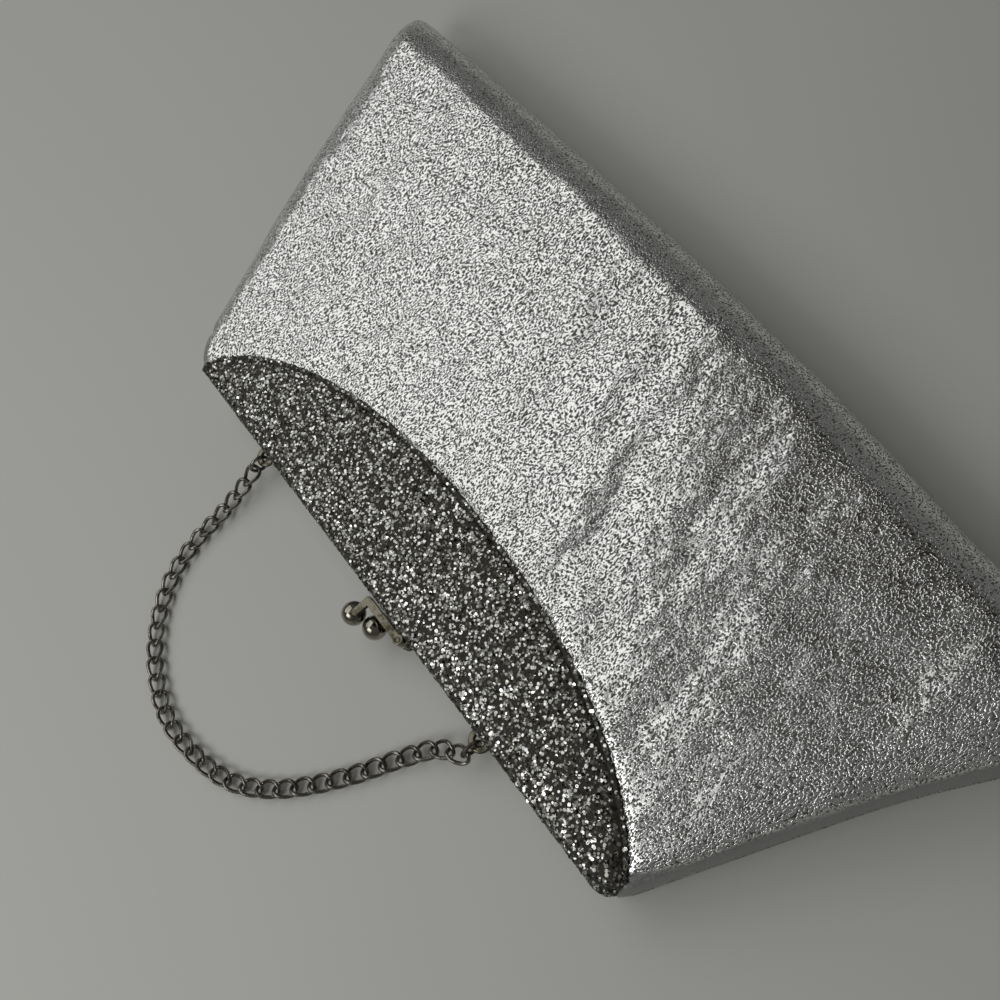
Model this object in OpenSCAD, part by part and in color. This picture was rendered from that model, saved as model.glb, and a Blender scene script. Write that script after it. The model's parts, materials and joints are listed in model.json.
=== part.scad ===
// Evening bag with a kiss-lock frame, lying on its back panel.
// +X runs along the frame, +Y from the bottom fold to the mouth, +Z out of the front panel.
// The origin is the middle of the back panel's resting face.

/* [Bag] */
// Length of the frame across the mouth
mouth_w = 205; // [190:5:230]
// Width across the bottom fold
bottom_w = 300; // [270:5:320]
// Height from the bottom fold to the mouth
bag_h = 128; // [120:2:150]
// Thickness at the mouth
mouth_t = 17.5; // [17:0.5:19]
// Thickness at the bottom fold
bottom_t = 28; // [24:1:32]
// Depth of the glitter crescent below the mouth
crescent_h = 36; // [30:1:37]

/* [Soft layers] */
// Thickness of the leather
leather_t = 1.2; // [0.8:0.1:1.2]
// Thickness of the wadding behind the leather
padding_t = 1.35; // [0.8:0.05:1.35]
// Thickness of the stiffening board and of the metal plates
board_t = 0.95; // [0.6:0.05:0.95]
// Thickness of the lining
lining_t = 0.55; // [0.3:0.05:0.55]
// How far the front glitter stands above the leather
glitter_proud = 0.4; // [0.2:0.1:0.6]

/* [Frame] */
// Distance from the mouth down to the hinge pins
hinge_drop = 42; // [40:1:44]
// Width of the frame's channel
rail_w = 6.2; // [5:0.2:6.4]
// Height of each half of the channel
rail_t = 4.7; // [4:0.1:4.7]
// Wall of the channel
rail_wall = 0.8; // [0.6:0.1:1]
// Radius of the hinge pins
pin_r = 1; // [0.8:0.1:1.2]

/* [Clasp] */
// Diameter of each ball
ball_d = 7; // [6:0.1:7]
// Place of the clasp along the frame
clasp_x = -5; // [-10:1:10]
// Length of the bar from its pivot to the arm
bar_l = 13; // [12:0.5:14]

/* [Chain] */
// Distance from the middle of the frame to each lug
lug_x = 56; // [50:1:60]
// Radius of the wire of the links
wire_r = 0.55; // [0.5:0.05:0.6]
// Length of one link along its wire's centre line
link_l = 6.9; // [6.6:0.1:7]
// Width of one link across its wire's centre line
link_w = 4.4; // [4:0.1:4.6]
// Twist of each link from its middle to its end, in degrees
link_twist = 40; // [35:1:45]
// Spacing of the links
link_pitch = 5.3; // [5.2:0.05:5.4]

/* [Hidden] */
$fn = 64;

// Gap left between neighbouring layers and pieces
gap = 0.05;
// Longer than anything that it cuts
far = 400;

// Outline of the body seen from the front, and its profile seen from the side
mouth_y = bag_h / 2;
bottom_y = -bag_h / 2;
roll_r = bottom_t / 2;
roll_y = bottom_y + roll_r;
side_slope = (bottom_w - mouth_w) / 2 / bag_h;
front_slope = (bottom_t - mouth_t) / (mouth_y - roll_y);
function half_w(y) = mouth_w / 2 + (mouth_y - y) * side_slope;
function front_z(y) = mouth_t + (mouth_y - y) * front_slope;

// Depth below the outer face at which each layer starts and ends
leather_in = leather_t;
padding_out = leather_in + gap;
padding_in = padding_out + padding_t;
board_out = padding_in + gap;
board_in = board_out + board_t;
lining_out = board_in + gap;
lining_in = lining_out + lining_t;

// Places along the height where the front is split round the hinge line
hinge_y = mouth_y - hinge_drop;
mid_z = mouth_t / 2 - gap;
fold_low_y = hinge_y - 9;
fold_high_y = hinge_y + 4;
inner_low_y = fold_low_y - 1;
rail_out_y = mouth_y - 1.8;
rail_in_y = rail_out_y - rail_w;
lip_t = 1.2;
leather_top_y = mouth_y - lip_t - gap;
inner_inset = 2;

// Boards and plates stop short of the rounded sides and of the bottom roll
board_inset = 12;
board_low_y = roll_y + 14;
plate_inset = 7;

// How far the crescent's tips reach to the left and to the right
tip_left = mouth_w / 2 - 8;
tip_right = mouth_w / 2 + 3.5;

// Frame halves: they meet at mid_z with a small gap between them
half_gap = 0.2;
arm_inset = 1.9;
frame_corner = 9;
arm_end_y = hinge_y + 5;
eye_r = 3;
eye_w = 3;
eye_in_x = half_w(arm_end_y) - arm_inset - rail_w;

// Chain lugs: a rounded ring on a tab in the back frame's channel
lug_shift = 4;
function lug_place(side) = side * lug_x + lug_shift;
lug_hole_r = 1.5;
lug_ring_r = 3.5;
lug_t = 1.2;
lug_y = mouth_y + 1.8;
lug_z = mid_z - half_gap - rail_wall - lug_t / 2;
lug_tab_w = 4;
lug_slot_w = 8;
rim_mid = (lug_hole_r + lug_ring_r) / 2;
swing_y = lug_y + rim_mid;
rivet_r = 0.8;
ring_wire_r = 0.55;
ring_r = 2.8;
ring_reach = 0.95;
ring_lean = 15;

// Clasp: each half is a bar along the mouth, an arm and a ball
bar_w = 2.2;
bar_t = 1.4;
bar_z = mid_z + 2.9;
bar_y = mouth_y + 2.4;
foot_t = 1.5;
foot_w = 3;
clasp_pin_r = 0.7;
ball_dx = 3.45;
ball_y = mouth_y + 7.4;
ball_dy = 1;
ball_dz = 0.7;
arm_dx = 1.8;
arm_reach = 5.3;

// Chain route from the left jump ring to the right one, as it lies: round numbers
chain_route = [
    [60, 71.9, 6.1], [59.6, 77, 4.8], [59.2, 83, 3.4], [58.8, 90, 2.3], [57.9, 101, 1.8],
    [53.8, 113, 1.8], [45, 124, 1.8], [32, 132.5, 1.8], [17, 136.5, 1.8], [2, 134.8, 1.8],
    [-11, 130, 1.8], [-20.5, 122, 1.8], [-28, 111.5, 1.8], [-34.5, 99, 1.8], [-39.8, 86.5, 2.2],
    [-45, 77, 3.9], [-52, 71.9, 6.1]
];

// ---------- shared shapes ----------

// Outline of the body between two heights, drawn in from the sides
module outline(inset, y0, y1) {
    x0 = half_w(y0) - inset;
    x1 = half_w(y1) - inset;
    polygon([[-x0, y0], [x0, y0], [x1, y1], [-x1, y1]]);
}

// A side profile (Y to the right, Z up) pushed right across the bag
module across() {
    rotate([90, 0, 90])
        linear_extrude(height = far, center = true)
            children();
}

// A plan shape pushed up through the bag
module upright() {
    translate([0, 0, -10])
        linear_extrude(height = 60)
            children();
}

// Profile of one layer that runs up the back, round the bottom and up the front
module wrap_profile(d0, d1, back_y, front_y) {
    translate([roll_y, d0])
        square([back_y - roll_y, d1 - d0]);
    intersection() {
        translate([roll_y, roll_r])
            difference() {
                circle(r = roll_r - d0);
                circle(r = roll_r - d1);
            }
        translate([roll_y + gap - far, -far / 2])
            square([far, far]);
    }
    front_profile(d0, d1, roll_y, front_y);
}

// Profile of one layer of the sloping front
module front_profile(d0, d1, y0, y1) {
    polygon([
        [y0, front_z(y0) - d0], [y1, front_z(y1) - d0],
        [y1, front_z(y1) - d1], [y0, front_z(y0) - d1]
    ]);
}

// Profile of one layer of the flat back
module back_profile(d0, d1, y0, y1) {
    translate([y0, d0])
        square([y1 - y0, d1 - d0]);
}

// Profile of all that lies inside the leather
module inside_profile(depth, y1) {
    translate([roll_y, roll_r])
        circle(r = roll_r - depth);
    polygon([
        [roll_y, depth], [y1, depth],
        [y1, front_z(y1) - depth], [roll_y, bottom_t - depth]
    ]);
}

// Outline of the crescent: full in the middle, cut off by the sides at its tips
module crescent(grow) {
    tip_power = 2.2;
    rise_power = 0.625;
    intersection() {
        outline(-grow, bottom_y, mouth_y + grow);
        polygon([
            for (a = [-90:6:90])
                let (x = sin(a), reach = x > 0 ? tip_left : tip_right)
                let (depth = (crescent_h + grow) * pow(1 - pow(abs(x), tip_power), rise_power))
                [x * reach, mouth_y + gap - depth]
        ]);
    }
}

// Outline of the body with its two top corners rounded
module rounded_outline(inset, y0, y1, r) {
    lean = atan(side_slope);
    corner_y = y1 - r;
    corner_x = half_w(corner_y) - inset - r / cos(lean);
    arc = [
        for (k = [0:6])
            let (a = lean + (90 - lean) * k / 6)
            [corner_x + r * cos(a), corner_y + r * sin(a)]
    ];
    polygon(concat(
        [[half_w(y0) - inset, y0]], arc,
        [for (k = [6:-1:0]) [-arc[k][0], arc[k][1]]],
        [[inset - half_w(y0), y0]]
    ));
}

// Plan of one frame half: the top rail and its two side arms
module frame_plan(outer, inner, top_y, rail_y, end_y, r) {
    difference() {
        rounded_outline(outer, end_y, top_y, r);
        outline(inner, end_y - 1, rail_y);
    }
}

// Centre line of one link's wire: a rounded oval, twisted towards both ends
function link_point(u) =
    let (c = cos(u), s = sin(u), power = 2 / 2.6)
    let (x = link_l / 2 * sign(c) * pow(abs(c), power), y = link_w / 2 * sign(s) * pow(abs(s), power))
    let (turn = link_twist * 2 * x / link_l)
    [x, y * cos(turn), y * sin(turn)];

// ---------- leather and soft layers ----------

module leather_cover() {
    color("silver")
    difference() {
        intersection() {
            upright() outline(0, bottom_y, leather_top_y);
            across() wrap_profile(0, leather_in, leather_top_y, fold_low_y);
        }
        translate([0, 0, -5])
            linear_extrude(height = 5 + leather_in + 1)
                crescent(gap);
    }
}

module front_leather_upper() {
    color("silver")
    difference() {
        intersection() {
            upright() outline(0, fold_high_y, leather_top_y);
            across() front_profile(0, leather_in, fold_high_y, leather_top_y);
        }
        translate([0, 0, mid_z])
            linear_extrude(height = bottom_t)
                crescent(gap);
    }
}

module front_leather_fold() {
    color("silver")
    intersection() {
        upright() outline(0, fold_low_y + gap, fold_high_y - gap);
        across() front_profile(0, leather_in, fold_low_y + gap, fold_high_y - gap);
    }
}

// Side wall of leather between the front and the back, between two heights
module gusset(side, y0, y1) {
    color("darkgray")
    intersection() {
        upright() difference() {
            outline(0, y0, y1);
            outline(leather_t, y0 - 1, y1 + 1);
            translate([side > 0 ? -far : 0, -far / 2])
                square([far, far]);
        }
        across() inside_profile(padding_out, mouth_y);
    }
}

module gusset_left() { gusset(-1, bottom_y, fold_low_y); }
module gusset_right() { gusset(1, bottom_y, fold_low_y); }
module gusset_fold_left() { gusset(-1, fold_low_y + gap, rail_out_y); }
module gusset_fold_right() { gusset(1, fold_low_y + gap, rail_out_y); }

module pouch_padding() {
    color("ivory")
    intersection() {
        upright() outline(inner_inset, bottom_y, rail_out_y);
        across() wrap_profile(padding_out, padding_in, rail_out_y, inner_low_y);
    }
}

module front_padding_upper() {
    color("ivory")
    intersection() {
        upright() outline(inner_inset, fold_high_y, rail_out_y);
        across() front_profile(padding_out, padding_in, fold_high_y, rail_out_y);
    }
}

module back_board() {
    color("tan")
    intersection() {
        upright() outline(board_inset, board_low_y, hinge_y);
        across() back_profile(board_out, board_in, board_low_y, hinge_y);
    }
}

module front_board() {
    color("tan")
    intersection() {
        upright() outline(board_inset, board_low_y, inner_low_y);
        across() front_profile(board_out, board_in, board_low_y, inner_low_y);
    }
}

module lining_pouch() {
    color("dimgray")
    intersection() {
        upright() outline(inner_inset, bottom_y, rail_in_y - gap);
        across() wrap_profile(lining_out, lining_in, hinge_y - 2, inner_low_y);
    }
    color("dimgray")
    intersection() {
        upright() outline(arm_inset + rail_w + 1, hinge_y - 3, rail_in_y - gap);
        across() back_profile(lining_out, lining_in, hinge_y - 3, rail_in_y - gap);
    }
}

module front_lining_upper() {
    color("dimgray")
    intersection() {
        upright() outline(arm_inset + rail_w + 1, fold_high_y, rail_in_y - gap);
        across() front_profile(lining_out, lining_in, fold_high_y, rail_in_y - gap);
    }
}

module front_lining_fold() {
    color("dimgray")
    intersection() {
        upright() outline(arm_inset + rail_w + 1, inner_low_y + gap, fold_high_y - gap);
        across() front_profile(lining_out, lining_in, inner_low_y + gap, fold_high_y - gap);
    }
}

// Flat slip pocket sewn on the back lining, open towards the mouth
module slip_pocket() {
    pocket_w = 90;
    pocket_h = 55;
    pocket_y = -40;
    pocket_t = 0.5;
    color("gray")
    translate([-pocket_w / 2, pocket_y, lining_in + gap])
        cube([pocket_w, pocket_h, pocket_t]);
}

// ---------- crescents and the plates behind them ----------

// Slots in the glitter's turned-over lip for the lugs and the clasp feet
module lip_slots() {
    for (side = [-1, 1])
        translate([lug_place(side) - lug_slot_w / 2, rail_out_y - 1, lug_z - 1.5])
            cube([lug_slot_w, 6, 3.4]);
}

module clasp_slot() {
    translate([clasp_x - bar_l - foot_w / 2 - 0.8, rail_out_y - 1, bar_z - foot_t - 1.2])
        cube([foot_w + 1.6, 6, foot_t + 1.7]);
}

module front_glitter() {
    top_z = mouth_t + glitter_proud;
    color("gray")
    difference() {
        union() {
            intersection() {
                upright() crescent(0);
                across() front_profile(-glitter_proud, leather_in, fold_high_y, mouth_y);
            }
            intersection() {
                upright() outline(0, mouth_y - lip_t, mouth_y);
                across() translate([mouth_y - lip_t, mid_z + half_gap])
                    square([lip_t, top_z - leather_in - mid_z]);
            }
        }
        lip_slots();
        clasp_slot();
    }
}

module back_glitter() {
    color("gray")
    difference() {
        union() {
            intersection() {
                upright() crescent(0);
                across() back_profile(0, leather_in, fold_high_y, mouth_y);
            }
            intersection() {
                upright() outline(0, mouth_y - lip_t, mouth_y);
                across() translate([mouth_y - lip_t, 0])
                    square([lip_t, mid_z - half_gap]);
            }
        }
        lip_slots();
        mirrored_down() clasp_slot();
    }
}

module front_plate() {
    color("slategray")
    intersection() {
        upright() outline(plate_inset, fold_high_y, rail_out_y);
        across() front_profile(board_out, board_in, fold_high_y, rail_out_y);
    }
}

module back_plate() {
    color("slategray")
    intersection() {
        upright() outline(plate_inset, hinge_y + gap, rail_out_y);
        across() back_profile(board_out, board_in, hinge_y + gap, rail_out_y);
    }
}

// ---------- frame and hinge ----------

// One half of the frame lying on z = 0: a channel, open inwards, with two hinge tongues
module frame_half(eye_x) {
    inner = arm_inset + rail_w;
    difference() {
        linear_extrude(height = rail_t)
            frame_plan(arm_inset, inner, rail_out_y, rail_in_y, arm_end_y, frame_corner);
        translate([0, 0, rail_wall])
            linear_extrude(height = rail_t - 2 * rail_wall)
                frame_plan(arm_inset + rail_wall, inner + 1, rail_out_y - rail_wall,
                           rail_in_y - 1, arm_end_y + 2, frame_corner - rail_wall);
    }
    for (side = [-1, 1])
        translate([side * (eye_x + eye_w / 2) - eye_w / 2, hinge_y, 0])
            difference() {
                union() {
                    cube([eye_w, arm_end_y + 1.5 - hinge_y, eye_r + 0.5]);
                    translate([0, 0, -half_gap])
                        rotate([0, 90, 0]) cylinder(h = eye_w, r = eye_r);
                }
                translate([-1, 0, -half_gap])
                    rotate([0, 90, 0]) cylinder(h = eye_w + 2, r = pin_r + gap);
            }
}

module front_frame() {
    color("darkslategray")
    translate([0, 0, mid_z + half_gap]) frame_half(eye_in_x);
}

module back_frame() {
    color("darkslategray")
    difference() {
        translate([0, 0, mid_z - half_gap]) mirror([0, 0, 1]) frame_half(eye_in_x + eye_w + 2 * gap);
        for (side = [-1, 1])
            translate([lug_place(side) - lug_tab_w / 2 - gap, rail_out_y - 2, lug_z - lug_t / 2 - gap])
                cube([lug_tab_w + 2 * gap, 3, lug_t + gap]);
        for (side = [-1, 1])
            translate([lug_place(side), rail_out_y - 3, mid_z - 5])
                cylinder(h = 10, r = rivet_r + gap / 5);
    }
}

// Rivet through both hinge eyes, with a flat head at each end
module hinge_pin(side) {
    head_t = 0.6;
    span = 2 * eye_w + 2 * gap;
    color("dimgray")
    translate([side * (eye_in_x + span / 2), hinge_y, mid_z])
        rotate([0, 90, 0]) {
            cylinder(h = span + 4 * gap, r = pin_r, center = true);
            for (end = [-1, 1])
                translate([0, 0, end * (span / 2 + 2 * gap + head_t / 2)])
                    cylinder(h = head_t, r = pin_r + 0.7, center = true);
        }
}

module hinge_pin_left() { hinge_pin(-1); }
module hinge_pin_right() { hinge_pin(1); }

// ---------- chain lugs ----------

module chain_lug(side) {
    tab_y = rail_out_y - 5;
    color("darkolivegreen")
    translate([lug_place(side), lug_y, lug_z]) {
        rotate_extrude() {
            translate([lug_hole_r + lug_t / 2, -lug_t / 2])
                square([lug_ring_r - lug_hole_r - lug_t, lug_t]);
            for (edge = [lug_hole_r + lug_t / 2, lug_ring_r - lug_t / 2])
                translate([edge, 0]) circle(d = lug_t);
        }
        difference() {
            translate([-lug_tab_w / 2, tab_y - lug_y, -lug_t / 2])
                cube([lug_tab_w, lug_y - tab_y - lug_hole_r - 0.7, lug_t]);
            translate([0, rail_out_y - 3 - lug_y, -lug_t])
                cylinder(h = 2 * lug_t, r = rivet_r + gap / 5);
        }
    }
}

module chain_lug_left() { chain_lug(1); }
module chain_lug_right() { chain_lug(-1); }

// Flush rivets that hold the lug tabs under the channel's inner wall
module lug_rivets() {
    color("gray")
    for (side = [-1, 1])
        translate([lug_place(side), rail_out_y - 3, lug_z - lug_t / 2]) {
            cylinder(h = mid_z - half_gap - lug_z + lug_t / 2, r = rivet_r);
            translate([0, 0, -0.55]) cylinder(h = 0.5, r = 1.5);
            translate([0, 0, -0.1]) cylinder(h = 0.2, r = rivet_r);
        }
}

// ---------- clasp: the back half mirrors the front half, with its ball beside it ----------

module clasp_foot() {
    pivot_x = clasp_x - bar_l;
    foot_z = bar_z - gap - foot_t;
    translate([pivot_x - foot_w / 2, rail_out_y, foot_z])
        cube([foot_w, bar_y - rail_out_y, foot_t]);
    translate([pivot_x - foot_w / 2 - 0.5, rail_out_y, foot_z - 0.8])
        cube([foot_w + 1, 0.55, foot_t + 1.2]);
    translate([pivot_x, bar_y, foot_z])
        cylinder(h = foot_t, r = foot_w / 2);
    translate([pivot_x, bar_y, foot_z])
        cylinder(h = foot_t + gap + bar_t, r = clasp_pin_r);
}

module clasp_arm(side, reach) {
    pivot_x = clasp_x - bar_l;
    arm_x = clasp_x + side * arm_dx;
    translate([0, 0, bar_z])
    difference() {
        union() {
            translate([pivot_x, bar_y - bar_w / 2, 0])
                cube([arm_x - pivot_x, bar_w, bar_t]);
            translate([pivot_x, bar_y, 0])
                cylinder(h = bar_t, r = bar_w / 2 + 0.4);
            translate([arm_x, bar_y, 0])
                cylinder(h = bar_t, r = bar_w / 2);
            translate([arm_x - bar_w / 2, bar_y, 0])
                cube([bar_w, reach - 1.5, bar_t]);
            translate([arm_x, bar_y + reach - 1.5, 0])
                cylinder(h = bar_t, r = bar_w / 2);
        }
        translate([pivot_x, bar_y, -1])
            cylinder(h = bar_t + 2, r = clasp_pin_r + gap);
    }
    translate([arm_x, bar_y + reach - 1.5, bar_z - 2.4])
        cylinder(h = 2.5, r = 0.8);
}

module clasp_ball(side) {
    difference() {
        translate([clasp_x + side * ball_dx, ball_y + side * ball_dy, mid_z + ball_dz])
            sphere(d = ball_d);
        clasp_arm(side, arm_reach + side * ball_dy);
    }
}

// Mirrors a front clasp piece through the plane where the frame halves meet
module mirrored_down() {
    translate([0, 0, 2 * mid_z])
        mirror([0, 0, 1])
            children();
}

module front_clasp_foot() { color("darkolivegreen") clasp_foot(); }
module back_clasp_foot() { color("darkolivegreen") mirrored_down() clasp_foot(); }
module front_clasp_arm() { color("darkolivegreen") clasp_arm(1, arm_reach + ball_dy); }
module back_clasp_arm() { color("darkolivegreen") mirrored_down() clasp_arm(-1, arm_reach - ball_dy); }
module front_clasp_ball() { color("lightslategray") clasp_ball(1); }
module back_clasp_ball() { color("lightslategray") mirrored_down() clasp_ball(-1); }

// ---------- chain ----------

// Smooth curve through the route's points, and the length walked along it
function curve_point(a, b, c, d, t) =
    0.5 * (2 * b + (c - a) * t + (2 * a - 5 * b + 4 * c - d) * t * t
        + (3 * b - a - 3 * c + d) * t * t * t);
route_last = len(chain_route) - 1;
steps = 10;
walk = [
    for (i = [0:route_last - 1], k = [0:steps - 1])
        curve_point(chain_route[max(i - 1, 0)], chain_route[i], chain_route[i + 1],
                    chain_route[min(i + 2, route_last)], k / steps),
    chain_route[route_last]
];
function walked(i) = i == 0 ? 0 : norm(walk[i] - walk[i - 1]) + walked(i - 1);
walk_s = [for (i = [0:len(walk) - 1]) walked(i)];
chain_l = walk_s[len(walk_s) - 1];
function at(s) = [for (axis = [0:2]) lookup(s, [for (i = [0:len(walk) - 1]) [walk_s[i], walk[i][axis]]])];

// Links are spread evenly between the two jump rings
first_s = link_l / 2 - 2.6 * wire_r;
link_count = round((chain_l - 2 * first_s) / link_pitch) + 1;
link_step = (chain_l - 2 * first_s) / (link_count - 1);

// Wire of one link as a ring of round sections
link_rings = 16;
link_sides = 6;
module link_wire() {
    points = [
        for (i = [0:link_rings - 1])
            let (u = i * 360 / link_rings, here = link_point(u))
            let (along = link_point(u + 4) - link_point(u - 4))
            let (t = along / norm(along), out0 = cross(t, [0, 0, 1]))
            let (out = out0 / norm(out0), up = cross(out, t))
            for (k = [0:link_sides - 1])
                let (v = k * 360 / link_sides)
                here + wire_r * (cos(v) * out + sin(v) * up)
    ];
    faces = [
        for (i = [0:link_rings - 1], k = [0:link_sides - 1])
            let (i1 = (i + 1) % link_rings, k1 = (k + 1) % link_sides)
            let (a = i * link_sides + k, b = i * link_sides + k1)
            let (c = i1 * link_sides + k1, d = i1 * link_sides + k)
            for (face = [[a, b, c], [a, c, d]]) face
    ];
    polyhedron(points = points, faces = faces);
}

module chain_links() {
    color("darkslategray")
    for (i = [0:link_count - 1]) {
        s = first_s + i * link_step;
        here = at(s);
        way = at(min(s + 1, chain_l)) - at(max(s - 1, 0));
        heading = atan2(way[1], way[0]);
        dip = -atan2(way[2], norm([way[0], way[1]]));
        translate(here) rotate([0, dip, heading]) link_wire();
    }
}

// Plain wire rings that hang in the lugs and carry the ends of the chain
module jump_rings() {
    color("darkolivegreen")
    for (side = [-1, 1])
        translate([lug_place(side), swing_y, lug_z])
            rotate([-ring_lean, 0, 0])
                translate([0, ring_reach, 0])
                    rotate([0, 90, 0])
                        rotate_extrude()
                            translate([ring_r, 0])
                                circle(r = ring_wire_r);
}

leather_cover();
front_leather_upper();
front_leather_fold();
gusset_left();
gusset_right();
gusset_fold_left();
gusset_fold_right();
back_glitter();
front_glitter();
back_plate();
front_plate();
pouch_padding();
front_padding_upper();
back_board();
front_board();
lining_pouch();
front_lining_upper();
front_lining_fold();
slip_pocket();
back_frame();
front_frame();
hinge_pin_left();
hinge_pin_right();
chain_lug_left();
chain_lug_right();
lug_rivets();
back_clasp_foot();
front_clasp_foot();
back_clasp_arm();
front_clasp_arm();
back_clasp_ball();
front_clasp_ball();
jump_rings();
chain_links();
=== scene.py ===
import json
import math

import bmesh
import bpy
import numpy as np
from mathutils import Matrix, Vector

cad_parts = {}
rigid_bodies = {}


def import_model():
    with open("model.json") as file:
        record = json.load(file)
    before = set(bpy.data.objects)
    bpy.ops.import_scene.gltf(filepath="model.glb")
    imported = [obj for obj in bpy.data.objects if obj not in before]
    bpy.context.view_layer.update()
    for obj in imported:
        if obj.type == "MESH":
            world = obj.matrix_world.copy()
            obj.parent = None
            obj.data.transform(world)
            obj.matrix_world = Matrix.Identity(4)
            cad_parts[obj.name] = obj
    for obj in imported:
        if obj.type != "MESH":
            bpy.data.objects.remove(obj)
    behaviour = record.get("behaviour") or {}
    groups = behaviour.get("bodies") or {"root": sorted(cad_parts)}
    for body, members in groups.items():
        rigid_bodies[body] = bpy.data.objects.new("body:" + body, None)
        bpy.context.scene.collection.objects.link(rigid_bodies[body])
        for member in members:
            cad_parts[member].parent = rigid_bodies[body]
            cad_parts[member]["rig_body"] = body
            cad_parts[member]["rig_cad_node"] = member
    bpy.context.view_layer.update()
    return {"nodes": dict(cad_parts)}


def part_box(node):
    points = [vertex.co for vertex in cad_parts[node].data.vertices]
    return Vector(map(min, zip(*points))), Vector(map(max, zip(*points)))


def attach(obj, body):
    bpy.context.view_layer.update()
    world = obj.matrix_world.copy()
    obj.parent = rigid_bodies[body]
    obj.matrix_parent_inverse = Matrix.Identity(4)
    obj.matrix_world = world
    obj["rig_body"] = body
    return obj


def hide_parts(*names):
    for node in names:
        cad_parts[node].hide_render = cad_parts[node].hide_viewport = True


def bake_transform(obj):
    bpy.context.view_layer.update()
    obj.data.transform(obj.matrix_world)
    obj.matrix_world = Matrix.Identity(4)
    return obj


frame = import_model()
mm = 0.001
bpy.context.scene.view_settings.view_transform = "Standard"

# camera

cameraSetup = {
    "place": (-0.1288, 0.0201, 0.2549),
    "aim": (-0.0007, 0.0214, 0.0),
    "upHint": (0.668, -0.665, 0.333),
    "lens": 36.0,
    "sensor": 36.0,
}


def addCamera(setup):
    place = Vector(setup["place"])
    back = (place - Vector(setup["aim"])).normalized()
    right = Vector(setup["upHint"]).cross(back).normalized()
    up = back.cross(right)
    bpy.ops.object.camera_add()
    camera = bpy.context.object
    camera.name = "viewCamera"
    turn = Matrix((right, up, back)).transposed()
    camera.matrix_world = Matrix.Translation(place) @ turn.to_4x4()
    camera.data.lens = setup["lens"]
    camera.data.sensor_width = setup["sensor"]
    camera.data.clip_start = 0.005
    bpy.context.scene.camera = camera


addCamera(cameraSetup)
print("stage: camera placed")

# sizes taken from the frame, in millimetres


def nodeBox(name):
    low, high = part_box(name)
    return np.array(low) / mm, np.array(high) / mm


coverLow, coverHigh = nodeBox("leather_cover")
crescentLow, crescentHigh = nodeBox("front_glitter")
upperLow, upperHigh = nodeBox("front_leather_upper")
pinLow, pinHigh = nodeBox("hinge_pin_left")
leatherThick = 1.2

bag = {
    "mouthHalf": crescentHigh[0] - 0.45,
    "bottomHalf": coverHigh[0],
    "mouthY": crescentHigh[1],
    "bottomY": coverLow[1],
    "mouthThick": upperLow[2] + leatherThick,
    "bottomThick": coverHigh[2],
    "arcRise": crescentHigh[1] - crescentLow[1] + 0.05,
    "hingeY": (pinLow[1] + pinHigh[1]) / 2,
    "hingeZ": (pinLow[2] + pinHigh[2]) / 2,
}
rollR = bag["bottomThick"] / 2
rollY = bag["bottomY"] + rollR

form = {
    "sag": 2.0,  # how far the bag's middle plane settles at the bottom
    "roundWide": 7.0,  # width of the rounded side at the mouth
    "roundGain": 0.1,  # how much wider it gets per millimetre towards the bottom
    "holdMouth": 0.4,  # share of the thickness left at the side edge
    "holdBottom": 0.1,
    "cornerLeft": 9.0,  # rounding of the mouth's corners, +X and -X
    "cornerRight": 4.0,
    "tipLeft": -8.0,  # where the crescent's arc would meet the mouth, from the corner
    "tipRight": 3.5,
    "crown": 0.9,
    "foldX": (-150, -100, -50, 0, 50, 100, 150),
    "foldShift": (14, 11, 5, 1.2, -0.8, -2.2, -3.4),
    "ripple": 0.22,
}

# soft dents of the front panel: x, y, half length, half width, turn, depth
dents = (
    (3, -38, 22, 7, 96, 0.95),
    (99, 2, 30, 8, 82, 0.8),
    (-106, -22, 32, 15, 100, 1.1),
    (50, -34, 14, 9, 60, 0.5),
    (-40, 5, 26, 14, 40, 0.45),
    (60, 12, 22, 12, 120, 0.4),
)


def ramp(value, start, end):
    share = np.clip((value - start) / (end - start), 0, 1)
    return share * share * (3 - 2 * share)


def cornerTrim(side, past):
    # how far a rounded corner draws an edge in, for +X and -X corners
    wide = np.where(side > 0, form["cornerLeft"], form["cornerRight"])
    reach = np.clip(past + wide, 0, wide)
    return wide - np.sqrt(wide**2 - reach**2)


def halfWidth(y, side):
    slope = (bag["bottomHalf"] - bag["mouthHalf"]) / (bag["mouthY"] - bag["bottomY"])
    return bag["mouthHalf"] + (bag["mouthY"] - y) * slope - cornerTrim(side, y - bag["mouthY"])


def frontHeight(y):
    slope = (bag["bottomThick"] - bag["mouthThick"]) / (bag["mouthY"] - rollY)
    return bag["mouthThick"] + (bag["mouthY"] - np.maximum(y, rollY)) * slope


def roundWidth(y):
    return form["roundWide"] + form["roundGain"] * (bag["mouthY"] - y)


def arcLine(x):
    tip = bag["mouthHalf"] + np.where(x > 0, form["tipLeft"], form["tipRight"])
    share = np.clip(np.abs(x) / tip, 0, 1)
    return bag["mouthY"] + 0.05 - bag["arcRise"] * (1 - share**2.2) ** 0.625


def mouthLine(x):
    return bag["mouthY"] - cornerTrim(x, np.abs(x) - bag["mouthHalf"])


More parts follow.
